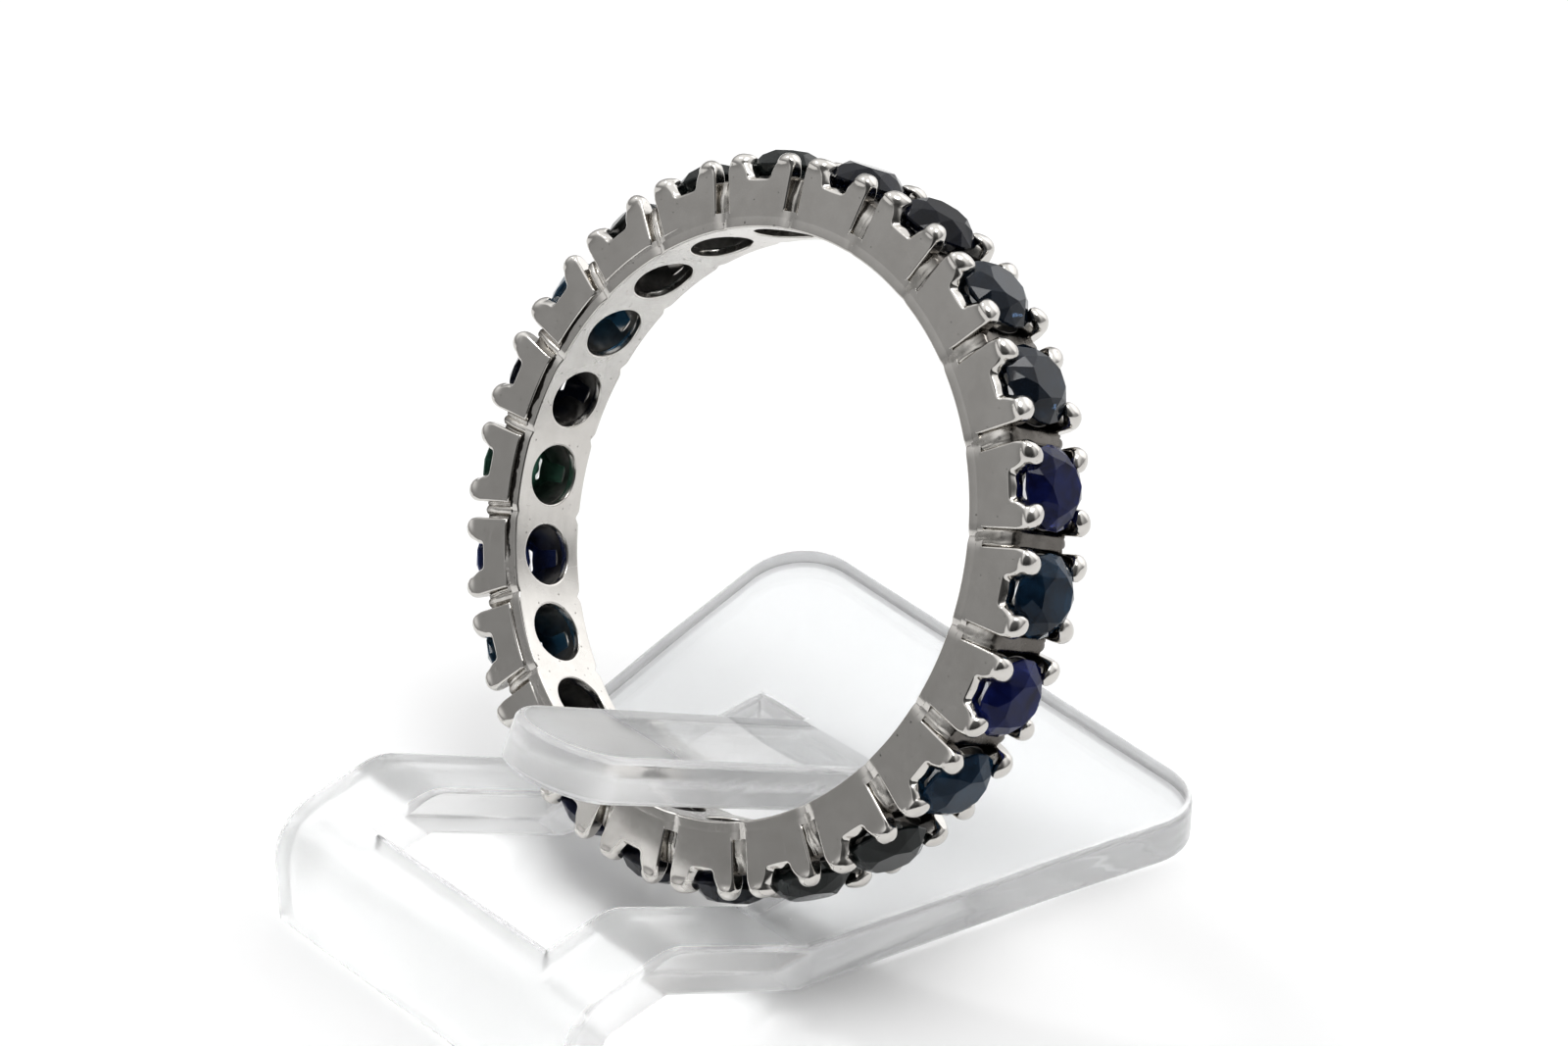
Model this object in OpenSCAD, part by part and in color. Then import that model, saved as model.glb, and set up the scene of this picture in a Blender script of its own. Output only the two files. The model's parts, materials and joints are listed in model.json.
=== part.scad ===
// Eternity ring: a band of round dark blue stones in open four-claw boxes, held
// in a small clear bent-sheet stand. The ring leans back in the stand.
// Units are millimetres, Z is up, the table is z = 0, the raised front of the
// stand faces -Y and its wide plate lies toward +Y.

/* [Ring] */
// inner diameter of the finger hole
finger_d = 17.3; // [14:0.1:22]
// width of the band along the finger
band_w = 2.8; // [2:0.1:4.5]
// thickness of the inner band under the stones
liner_t = 0.32; // [0.2:0.02:0.6]
// number of stones all the way round
stones_n = 22; // [16:1:30]
// angle of the first stone from the top of the ring
ring_roll = 19.9; // [0:0.1:25]

/* [Settings] */
// radial height from the inner band to the tips of the claws
box_h = 1.95; // [1.4:0.05:2.6]
// thickness of the flat side walls of a box
wall_t = 0.5; // [0.3:0.05:0.8]
// width of the groove between two boxes
groove_w = 0.52; // [0.3:0.02:0.9]
// depth of the notch between two claws
notch_h = 0.85; // [0.4:0.05:1.3]
// width of the notch at its floor
notch_w = 0.9; // [0.5:0.05:1.3]
// radius of the rounded claw tips
claw_r = 0.33; // [0.2:0.01:0.45]
// how far the cross bars between boxes sit back from the faces
bar_back = 0.28; // [0.1:0.02:0.6]
// diameter of the round windows through the inner band
hole_d = 1.85; // [1:0.05:2.2]

/* [Stones] */
// diameter across the girdle
stone_d = 2.44; // [1.6:0.02:3]
// height of the crown above the girdle
crown_h = 0.52; // [0.3:0.02:0.8]
// depth of the pavilion below the girdle
pavilion_h = 1.02; // [0.7:0.02:1.4]
// width of the flat table as a part of the stone's diameter
table_part = 0.52; // [0.4:0.01:0.7]
// clearance between a stone and its seat
seat_gap = 0.03; // [0.01:0.01:0.1]

/* [Stand] */
// thickness of the clear sheet
sheet_t = 1.5; // [1:0.1:2.5]
// width of the raised front
front_w = 13.3; // [9:0.1:18]
// how much wider the plate grows for each millimetre toward the back, one side
side_taper = 0.25; // [0:0.01:0.4]
// length of the flat plate behind the rise
plate_l = 15.0; // [10:0.1:20]
// angle by which the rear edge is cut out of square
rear_skew = 4.5; // [0:0.5:8]
// radius of the two rear corners
corner_r = 2.6; // [0.5:0.1:4]
// width of the window between the two arms
window_w = 7.6; // [5:0.1:9]
// width of the tongue that carries the ring
tongue_w = 4.0; // [2.5:0.1:5.5]
// length of the tongue along its slope
tongue_l = 14.4; // [9:0.1:18]
// fall of the bridge from the top of the arms to the front
bridge_fall = 6; // [0:0.5:15]
// distance from the ring's near face to the outside of the front wall
front_reach = 12.25; // [10:0.05:15]

/* [Pose] */
// lean of the ring from upright
ring_lean = 27.74; // [15:0.01:40]
// height of the middle of the ring's near face over the table
ring_z = 11.85; // [11:0.01:14]
// sideways offset of the ring from the middle of the stand
ring_x = 0.2; // [-1:0.05:1]
// distance from the ring's axis down to the top of the two arms
arm_drop = 10.5; // [10:0.05:12]
// distance from the ring's axis down to the top of the tongue
tongue_drop = 6.84; // [5:0.02:8]

/* [Hidden] */
$fn = 64;
pitch = 360 / stones_n;
bore_r = finger_d / 2;
liner_r = bore_r + liner_t;
tip_r = liner_r + box_h;
floor_r = tip_r - notch_h;
bar_r = floor_r + 0.2;
girdle_r = tip_r - 0.42;
half_gap = tan(pitch / 2);
claw_u = (tip_r - claw_r) * half_gap - groove_w / 2 - claw_r;

// heights in the stand: where a plane at a given drop below the ring's axis
// meets the top of the flat plate
function rise_y(drop) = (-drop - (sheet_t - ring_z) * cos(ring_lean)) / sin(ring_lean);
arm_y = rise_y(arm_drop);
tongue_y = rise_y(tongue_drop);
front_y = -front_reach;
rear_y = arm_y + plate_l;
fold_y = front_y + 4.1;
window_y = front_y + 1.9;
hw = front_w / 2;

// directions in the side view, as [y, z]
up_arm = [sin(ring_lean), cos(ring_lean)];
up_bridge = [-sin(bridge_fall), cos(bridge_fall)];
out_wall = [-1, 0];
fold_top = [fold_y, sheet_t + (arm_y - fold_y) * tan(ring_lean)];
nose_top = [front_y, fold_top[1] - (fold_y - front_y) * tan(bridge_fall)];
bend_in = 0.3;
bend_out = bend_in + sheet_t;
function bend_mid(corner, a, b) = corner - bend_out * (a + b) / (1 + a * b);
fold_mid = bend_mid(fold_top, up_arm, up_bridge);
nose_mid = bend_mid(nose_top, up_bridge, out_wall);

// rear corners of the plate, from the two edges moved in by the corner radius
skew = tan(rear_skew);
len_side = sqrt(1 + side_taper * side_taper);
len_rear = sqrt(1 + skew * skew);
corner_span = hw + side_taper * (rear_y - corner_r * len_rear - arm_y) - corner_r * len_side;
corner_xr = corner_span / (1 + side_taper * skew);
corner_xl = -corner_span / (1 - side_taper * skew);
function corner_y(x) = rear_y - skew * x - corner_r * len_rear;
n_side = [1, -side_taper] / len_side;
n_rear = [skew, 1] / len_rear;

// middle of the whole object's box on the table
mid_x = ring_x;
mid_y = (corner_y(corner_xl) + corner_r + front_y) / 2;

metal_col = [0.80, 0.80, 0.81];
stone_col = [0.05, 0.09, 0.22];
clear_col = [0.86, 0.90, 0.92, 0.5];

// the ring's own frame: local Y is the way to its top, local Z is its axis
// toward the front, the near face is at local z = 0
module in_ring()
    translate([ring_x - mid_x, -mid_y, ring_z])
        rotate([90 - ring_lean, 0, 0]) children();

// one setting's frame: local Y points outward through the stone
module at_setting(j)
    rotate([0, 0, ring_roll + pitch * (j - 1)]) children();

// flat outline of a side wall with its notch and its two round claw tips
module wall_outline() {
    foot_u = (liner_r - 0.1) * half_gap - groove_w / 2;
    top_u = (tip_r - claw_r) * half_gap - groove_w / 2;
    difference() {
        polygon([[-foot_u, liner_r - 0.1], [foot_u, liner_r - 0.1],
                 [top_u, tip_r - claw_r], [-top_u, tip_r - claw_r]]);
        polygon([[-notch_w / 2, floor_r], [notch_w / 2, floor_r],
                 [claw_u - claw_r, tip_r], [claw_r - claw_u, tip_r]]);
    }
    for (s = [-1, 1]) translate([s * claw_u, tip_r - claw_r]) circle(r = claw_r);
}

// space kept free round a stone, also its seat in the claws
module seat() {
    r = stone_d / 2 + seat_gap;
    translate([0, girdle_r, -band_w / 2]) rotate([-90, 0, 0])
        rotate_extrude()
            polygon([[0, -pavilion_h - 0.1], [0.1, -pavilion_h - 0.1], [r, -0.1],
                     [r, 0.08], [r * table_part + 0.1, crown_h + seat_gap],
                     [r * table_part + 0.1, crown_h + 0.4], [0, crown_h + 0.4]]);
}

// one open box: two side walls and four tips folded over the stone
module box() {
    difference() {
        union() {
            for (z = [-wall_t, -band_w]) translate([0, 0, z])
                linear_extrude(wall_t) wall_outline();
            for (s = [-1, 1], t = [-1, 1])
                translate([s * (claw_u - 0.04), tip_r - claw_r - 0.02,
                           -band_w / 2 + t * (band_w / 2 - wall_t + 0.08)])
                    sphere(r = claw_r - 0.01);
        }
        seat();
    }
}

// bar across the band between two boxes
module cross_bar()
    rotate([0, 0, pitch / 2])
        translate([-groove_w / 2 - 0.05, liner_r - 0.1, bar_back - band_w])
            cube([groove_w + 0.1, bar_r - liner_r + 0.1, band_w - 2 * bar_back]);

module inner_band()
    difference() {
        translate([0, 0, -band_w]) cylinder(h = band_w, r = liner_r);
        translate([0, 0, -band_w - 1]) cylinder(h = band_w + 2, r = bore_r);
        for (j = [1 : stones_n]) at_setting(j)
            translate([0, bore_r - 1, -band_w / 2]) rotate([-90, 0, 0])
                cylinder(h = 2, d = hole_d);
    }

module ring_mount()
    color(metal_col) in_ring() {
        inner_band();
        for (j = [1 : stones_n]) at_setting(j) {
            box();
            cross_bar();
        }
    }

// eight-sided cut: crown, girdle and pavilion, the table on top
module cut(r, t, c, p) {
    translate([0, 0, 0.04]) cylinder(h = c - 0.04, r1 = r, r2 = t, $fn = 8);
    translate([0, 0, -0.04]) cylinder(h = 0.08, r = r, $fn = 8);
    translate([0, 0, -p]) cylinder(h = p - 0.04, r1 = 0.04, r2 = r, $fn = 8);
}

// two cuts turned against each other give kites, stars and a 16-sided girdle
module gem() {
    r = stone_d / 2 / cos(22.5) * cos(11.25);
    intersection() {
        cut(r, r * table_part, crown_h, pavilion_h);
        rotate([0, 0, 22.5]) cut(r, r * (table_part + 0.14), crown_h, pavilion_h * 1.06);
    }
}

module stone(j)
    color(stone_col) in_ring() at_setting(j)
        translate([0, girdle_r, -band_w / 2]) rotate([-90, 0, 0]) gem();

module stone_01() stone(1);
module stone_02() stone(2);
module stone_03() stone(3);
module stone_04() stone(4);
module stone_05() stone(5);
module stone_06() stone(6);
module stone_07() stone(7);
module stone_08() stone(8);
module stone_09() stone(9);
module stone_10() stone(10);
module stone_11() stone(11);
module stone_12() stone(12);
module stone_13() stone(13);
module stone_14() stone(14);
module stone_15() stone(15);
module stone_16() stone(16);
module stone_17() stone(17);
module stone_18() stone(18);
module stone_19() stone(19);
module stone_20() stone(20);
module stone_21() stone(21);
module stone_22() stone(22);

// points of an arc round a middle, from one outward direction to another
function turn(a, b) = (atan2(b[1], b[0]) - atan2(a[1], a[0]) + 540) % 360 - 180;
function arc(mid, r, a, b, n) =
    [for (i = [0 : n]) let (t = atan2(a[1], a[0]) + turn(a, b) * i / n)
        mid + r * [cos(t), sin(t)]];

// side view of the sheet: plate, arms, bridge and front wall, as [y, z]
module side_view()
    polygon(concat(
        [[rear_y + 2, 0], [rear_y + 2, sheet_t], [arm_y, sheet_t]],
        arc(fold_mid, bend_out, up_arm, up_bridge, 8),
        arc(nose_mid, bend_out, up_bridge, out_wall, 16),
        [[front_y, 0], [front_y + sheet_t, 0]],
        arc(nose_mid, bend_in, out_wall, up_bridge, 8),
        arc(fold_mid, bend_in, up_bridge, up_arm, 4),
        [[arm_y - sheet_t * tan(ring_lean / 2), 0]]));

// outline from above: a straight front and a plate that widens to the back
module plan_view() {
    n_left = [-n_side[0], n_side[1]];
    polygon(concat(
        [[-hw, front_y - 1], [hw, front_y - 1], [hw, arm_y]],
        arc([corner_xr, corner_y(corner_xr)], corner_r, n_side, n_rear, 18),
        arc([corner_xl, corner_y(corner_xl)], corner_r, n_rear, n_left, 18),
        [[-hw, arm_y]]));
}

// the tongue's side view, with a short root inside the plate, as [y, z]
module tongue_side()
    polygon([[tongue_y + 1, 0], [tongue_y + 1, sheet_t], [tongue_y, sheet_t],
             [tongue_y, sheet_t] + 20 * [-cos(ring_lean), sin(ring_lean)],
             [tongue_y, sheet_t] + 20 * [-cos(ring_lean), sin(ring_lean)] - sheet_t * up_arm,
             [tongue_y - sheet_t * tan(ring_lean / 2), 0]]);

// the tongue's outline along its slope, from the crease to the round tip
module tongue_face()
    polygon(concat(
        [[-tongue_w / 2, -3], [tongue_w / 2, -3]],
        arc([0, tongue_l - tongue_w / 2], tongue_w / 2, [1, 0], [0, 1], 12),
        arc([0, tongue_l - tongue_w / 2], tongue_w / 2, [0, 1], [-1, 0], 12)));

module tongue()
    intersection() {
        translate([-5, 0, 0]) rotate([90, 0, 90]) linear_extrude(10) tongue_side();
        translate([0, tongue_y, sheet_t]) rotate([180 - ring_lean, 0, 0])
            translate([0, 0, -4]) linear_extrude(8) tongue_face();
    }

module stand()
    color(clear_col) translate([-mid_x, -mid_y, 0]) {
        difference() {
            intersection() {
                translate([-20, 0, 0]) rotate([90, 0, 90]) linear_extrude(40) side_view();
                linear_extrude(12) plan_view();
            }
            translate([-window_w / 2, window_y, -1])
                cube([window_w, tongue_y - window_y, 14]);
        }
        tongue();
    }

ring_mount();
stone_01();
stone_02();
stone_03();
stone_04();
stone_05();
stone_06();
stone_07();
stone_08();
stone_09();
stone_10();
stone_11();
stone_12();
stone_13();
stone_14();
stone_15();
stone_16();
stone_17();
stone_18();
stone_19();
stone_20();
stone_21();
stone_22();
stand();
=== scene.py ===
# An eternity ring set with round dark blue stones, leaning in a small clear bent stand.
# Lengths in this script are millimetres until a mesh is made; MM turns them into metres.
import json
import bmesh
import bpy
import numpy as np
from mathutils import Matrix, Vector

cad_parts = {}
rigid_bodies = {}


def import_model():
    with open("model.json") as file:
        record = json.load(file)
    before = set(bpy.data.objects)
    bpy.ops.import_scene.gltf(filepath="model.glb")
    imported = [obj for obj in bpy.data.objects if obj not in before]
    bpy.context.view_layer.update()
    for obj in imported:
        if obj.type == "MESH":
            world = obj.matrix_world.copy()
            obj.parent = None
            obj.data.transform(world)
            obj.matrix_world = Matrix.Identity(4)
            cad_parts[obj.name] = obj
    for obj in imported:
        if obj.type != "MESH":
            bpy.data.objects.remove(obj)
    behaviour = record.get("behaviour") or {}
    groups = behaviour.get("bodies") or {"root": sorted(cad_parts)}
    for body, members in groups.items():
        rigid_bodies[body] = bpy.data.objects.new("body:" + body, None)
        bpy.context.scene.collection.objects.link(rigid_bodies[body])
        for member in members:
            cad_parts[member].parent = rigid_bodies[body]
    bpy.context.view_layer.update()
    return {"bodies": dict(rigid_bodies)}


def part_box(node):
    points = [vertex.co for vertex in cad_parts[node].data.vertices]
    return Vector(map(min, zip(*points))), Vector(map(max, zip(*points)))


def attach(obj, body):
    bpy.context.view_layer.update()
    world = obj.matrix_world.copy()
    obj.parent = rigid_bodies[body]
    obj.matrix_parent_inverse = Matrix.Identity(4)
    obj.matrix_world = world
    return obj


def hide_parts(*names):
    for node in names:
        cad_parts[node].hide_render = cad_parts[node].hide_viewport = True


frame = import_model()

# In metres: a millimetre, and how close two points lie that are welded into one
MM = 0.001
WELD = 2e-7
BODY = list(frame["bodies"])[0]

# The ring's own frame: x to the right, y toward its top, w along its axis toward the front. Within
# one setting, before it is turned into its place, x is called u.
LEAN = np.radians(27.74)
ROLL = np.radians(19.9)
STONES = 22
PITCH = 2 * np.pi / STONES
RING_X = np.array([1.0, 0.0, 0.0])
RING_Y = np.array([0.0, np.sin(LEAN), np.cos(LEAN)])
RING_W = np.array([0.0, -np.cos(LEAN), np.sin(LEAN)])
RING_MID = sum(np.array(corner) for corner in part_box("ring_mount")) / 2 / MM

# The band and its boxes: radii, walls, notches, claws and windows, the dents at the band's grooves,
# and how far a joining part runs into its neighbours
HALF_BAND = 1.4
BORE_R = 8.65
LINER_R = 8.97
FLOOR_R = 10.07
FOOT_R = 9.09
BAR_R = 10.24
GIRDLE_R = 10.50
WALL_T = 0.5
GROOVE = 0.50
NOTCH_FLOOR = 0.44
NOTCH_TOP = 0.55
NOTCH_ROUND = 0.15
DOME_R = 10.54
DOME_H = 0.33
CLAW_LONG = 0.36
CLAW_WIDE = 0.345
CLAW_TURN = 54.4
WINDOW_R = 0.925
WINDOW_RIM = 0.06
SKIN_EDGE = 0.06
DENT_NEAR = 0.06
DENT_FAR = 0.13
DENT_WIDE = 0.13
OVERLAP = 0.1

# The rounding of a box's walls: a corner at the foot and what it gains up the claw, the bevel on the
# notch side with its depth and the share that it loses up the claw, and half the flat on a dome
WALL_CORNER = 0.07
CORNER_GAIN = 0.105
NOTCH_BEVEL = 0.13
BEVEL_DEPTH = 0.25
BEVEL_LOSS = 0.65
TIP_FLAT = 0.004

# The bars in the grooves: their rounding, how far back their ends lie, how much further back from
# one height on, and which bars, counted from 0 after the first stone, lie deeper or are filled
BAR_OVERLAP = 0.05
BAR_ROUND = 0.14
BAR_BACK = 0.21
BAR_DEEPER = 0.12
BAR_SLANT = 0.12
SLANT_FROM = 9.65
SLANT_RISE = 0.4
DEEP_BARS = range(8, 11)
FULL_BARS = range(11, 21)

# The joint under the boxes: half its section, and how deep it lies where it is open
SEAM_HALF_R = 0.15
SEAM_HALF_W = 0.1
SEAM_OPEN = 0.16

# How far the handwork differs from claw to claw, bar to bar and stone to stone
CLAW_FATTER = 0.05
CLAW_LOWER = 0.16
CLAW_HIGHER = 0.10
CLAW_LEANS = (0.10, 0.19)
CLAW_TURN_OFF = 9
BAR_LOWER = 0.05
BAR_HIGHER = 0.04
TABLE_OFF = 0.012
STONE_TIP = 1.6
STONE_SUNK = 0.03

# A bore's wall as (radius, distance from the ring's axis), up inside to the seat and down outside
BORE_WALL = np.array([
    [0.935, LINER_R - 0.08], [0.94, 9.3], [0.95, 9.75], [1.0, 9.98], [1.08, 10.14], [1.12, 10.15],
    [1.15, 10.12], [1.06, 9.9], [1.02, 9.6], [1.0, 9.3], [0.99, LINER_R - 0.08],
    [0.935, LINER_R - 0.08],
])

# The stones, and how far out their star facets and lower facets end
STONE_R = 1.215
CROWN_H = 0.52
PAVILION_H = 1.02
TABLE_R = 0.68
HALF_GIRDLE = 0.03
STAR_SHARE = 0.46
LOWER_SHARE = 0.24

# The stand, measured from its middle and from the ring's near face
SHEET_T = 1.5
FRONT_W = 13.3
SIDE_TAPER = 0.25
CORNER_R = 2.6
WINDOW_W = 7.6
TONGUE_W = 4.0
TONGUE_L = 14.4
ARM_Y = -2.878
TONGUE_Y = 4.985
FRONT_Y = -12.25
REAR_Y = 12.122
FOLD_Y = FRONT_Y + 4.1
SLOT_Y = FRONT_Y + 1.9
REAR_SKEW = np.tan(np.radians(4.5))
BRIDGE_FALL = np.radians(6)
BEND_R = 1.05
CUT_R = 0.22
LINE_START = REAR_Y + 3
STAND_AT = np.array([-0.2, -0.21575, 0.0])

# The finishes: colours, with painted black shade for the rim by the open joint, the polish of the
# ring's two flat ends, where high in a groove the metal begins to darken and is fully dark, and how
# the plastic bends light
METAL = (0.65, 0.632, 0.605, 1.0)
METAL_WORN = (0.54, 0.52, 0.495, 1.0)
PIT_DARK = (0.13, 0.12, 0.11, 1.0)
GROOVE_TOP_DARK = (0.07, 0.062, 0.055, 1.0)
OPEN_RIM_SHADE = (0.02, 0.018, 0.016, 1.0)
END_SMOOTH = 0.10
DARK_FROM = 9.85
DARK_FULL = 10.15
PLASTIC_BENDING = 1.49

# The view and the two lamps
VIEW_AT = (66.5 * MM, -61.38 * MM, 67.20 * MM)
VIEW_ROUND = 46.40
VIEW_UP = 31.5
VIEW_LENS = 83.70
LAMP_AIM = (0, 0, 8)
TABLE_Z = -0.004


# Nodes and materials


def material(name):
    """A new material with an empty node tree, its Principled shader and its output."""
    made = bpy.data.materials.new(name)
    made.use_nodes = True
    tree = made.node_tree
    tree.nodes.clear()
    out = tree.nodes.new("ShaderNodeOutputMaterial")
    shader = tree.nodes.new("ShaderNodeBsdfPrincipled")
    tree.links.new(shader.outputs["BSDF"], out.inputs["Surface"])
    return made, tree, shader


def fill(tree, made, **values):
    """Gives a node's sockets their values: a number, a colour or another node's socket.
    A socket is named with _ for each space, or by its place as in0, in1 and so on."""
    for key, value in values.items():
        numbered = key.startswith("in") and key[2:].isdigit()
        socket = made.inputs[int(key[2:]) if numbered else key.replace("_", " ")]
        if isinstance(value, bpy.types.NodeSocket):
            tree.links.new(value, socket)
        else:
            socket.default_value = value
    return made


def node(tree, kind, settings=None, **values):
    """Adds one node, sets its own settings and then its sockets."""
    made = tree.nodes.new("ShaderNode" + kind)
    for key, value in (settings or {}).items():
        setattr(made, key, value)
    return fill(tree, made, **values)


def math(tree, operation, first, second=0.0):
    """One arithmetic node."""
    return node(tree, "Math", {"operation": operation}, in0=first, in1=second).outputs[0]


def times(tree, first, second):
    """The product of two values."""
    return math(tree, "MULTIPLY", first, second)


def minus(tree, first, second):
    """The difference of two values."""
    return math(tree, "SUBTRACT", first, second)


def plus(tree, first, *others):
    """The sum of some values, added from the left."""
    for other in others:
        first = math(tree, "ADD", first, other)
    return first


def ramp(tree, value, start, end, low=0.0, high=1.0, soft=False):
    """Goes from low to high while the value goes from start to end, and can do so with soft ends."""
    kind = "SMOOTHSTEP" if soft else "LINEAR"
    return node(tree, "MapRange", {"interpolation_type": kind}, Value=value, From_Min=start,
                From_Max=end, To_Min=low, To_Max=high).outputs[0]


def blend(tree, factor, first, second):
    """Mixes two colours."""
    return node(tree, "Mix", {"data_type": "RGBA"}, in0=factor, in6=first, in7=second).outputs[2]


def noise(tree, place, **values):
    """A noise over the place, about 0.5 in its middle."""
    return node(tree, "TexNoise", Vector=place, **values).outputs[0]


def stretched(tree, place, stretch):
    """A place with its three parts multiplied by the stretch."""
    return node(tree, "VectorMath", {"operation": "MULTIPLY"}, in0=place, in1=stretch).outputs[0]


def relief(tree, height, strength, distance):
    """The normal that a height gives over the surface; the distance is in millimetres."""
    return node(tree, "Bump", Height=height, Strength=strength, Distance=distance * MM).outputs[0]


def new_group(name, **numbers):
    """An empty shader node group with a Vector and some named numbers in, and one Mask out."""
    tree = bpy.data.node_groups.new(name, "ShaderNodeTree")
    tree.interface.new_socket("Vector", in_out="INPUT", socket_type="NodeSocketVector")
    for label, value in numbers.items():
        socket = tree.interface.new_socket(label, in_out="INPUT", socket_type="NodeSocketFloat")
        socket.default_value = value
    tree.interface.new_socket("Mask", in_out="OUTPUT", socket_type="NodeSocketFloat")
    return tree, tree.nodes.new("NodeGroupInput"), tree.nodes.new("NodeGroupOutput")


def hairline_group():
    """Long thin scratches: the places where a stretched noise crosses its middle value."""
    tree, given, out = new_group("hairline_scratches", Scale=1.0, Width=0.01, Share=0.5)
    vector, scale, width, share = (given.outputs[k] for k in ("Vector", "Scale", "Width", "Share"))
    total = None
    for turn, seed in ((0.35, 0.0), (1.25, 7.3), (2.2, 13.1)):
        place = node(tree, "Mapping", Vector=vector, Rotation=(turn, 0.6 * turn, turn),
                     Location=(seed, seed, seed), Scale=(1.0, 0.06, 0.35)).outputs[0]
        off = math(tree, "ABSOLUTE", minus(tree, noise(tree, place, Scale=scale, Detail=1.0), 0.5))
        line = ramp(tree, off, 0.0, width, 1.0, 0.0)
        where = noise(tree, vector, Scale=0.9 + 0.3 * turn, Detail=2.0)
        kept = times(tree, line, math(tree, "LESS_THAN", where, share))
        total = kept if total is None else math(tree, "MAXIMUM", total, kept)
    fill(tree, out, Mask=total)
    return tree


def pit_group():
    """Small round pits: the middles of some cells of a random cell pattern."""
    tree, given, out = new_group("small_pits", Scale=4.0, Size=0.12, Share=0.3)
    pattern = node(tree, "TexVoronoi", Vector=given.outputs["Vector"], Scale=given.outputs["Scale"])
    pit = ramp(tree, pattern.outputs["Distance"], 0.0, given.outputs["Size"], 1.0, 0.0, soft=True)
    lot = node(tree, "SeparateColor", Color=pattern.outputs["Color"]).outputs[0]
    fill(tree, out, Mask=times(tree, pit, math(tree, "LESS_THAN", lot, given.outputs["Share"])))
    return tree


def smudge_group():
    """Soft cloudy change from place to place, from 0 to 1."""
    tree, given, out = new_group("soft_smudges", Scale=1.0)
    vector, scale = given.outputs["Vector"], given.outputs["Scale"]
    cloud = noise(tree, vector, Scale=scale, Detail=4.0, Roughness=0.6)
    fill(tree, out, Mask=ramp(tree, cloud, 0.35, 0.65))
    return tree


HAIRLINES = hairline_group()
PITS = pit_group()
SMUDGES = smudge_group()


def use_group(tree, group, place, **values):
    """Places one of the shared groups in a material, over the given place."""
    return node(tree, "Group", {"node_tree": group}, Vector=place, **values).outputs[0]


def object_mm(tree):
    """The surface's own coordinates in millimetres."""
    place = node(tree, "TexCoord").outputs["Object"]
    return node(tree, "VectorMath", {"operation": "SCALE"}, in0=place, Scale=1 / MM).outputs[0]


def ring_mm(tree, stretch):
    """Object coordinates in the ring's own frame, in millimetres, stretched along its three axes."""
    place = node(tree, "TexCoord").outputs["Object"]
    turned = node(tree, "Mapping", {"vector_type": "TEXTURE"}, Vector=place,
                  Location=tuple(RING_MID * MM), Rotation=(np.pi / 2 - LEAN, 0.0, 0.0),
                  Scale=(MM, MM, MM)).outputs[0]
    return stretched(tree, turned, stretch)


def open_rim_shade_mask(tree, place, axial, radius):
    """Where painted black shade falls on the near rim beside the open joint: on the left stretch, by
    its angle from the ring's top, on the near end, and beyond a jagged border a little inside the
    joint."""
    x, y, w = axial
    angle = math(tree, "ARCTAN2", times(tree, x, -1.0), y)
    left = times(tree, ramp(tree, angle, 1.03, 1.10), ramp(tree, angle, 2.16, 2.05))
    jagged = times(tree, use_group(tree, SMUDGES, place, Scale=1.9), ramp(tree, angle, 1.1, 1.5))
    border = minus(tree, LINER_R - 0.03, times(tree, jagged, 0.13))
    beyond = ramp(tree, times(tree, minus(tree, radius, border), 30.0), 0.0, 1.0)
    near = math(tree, "GREATER_THAN", w, HALF_BAND - 0.03)
    return times(tree, times(tree, left, near), beyond)


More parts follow.
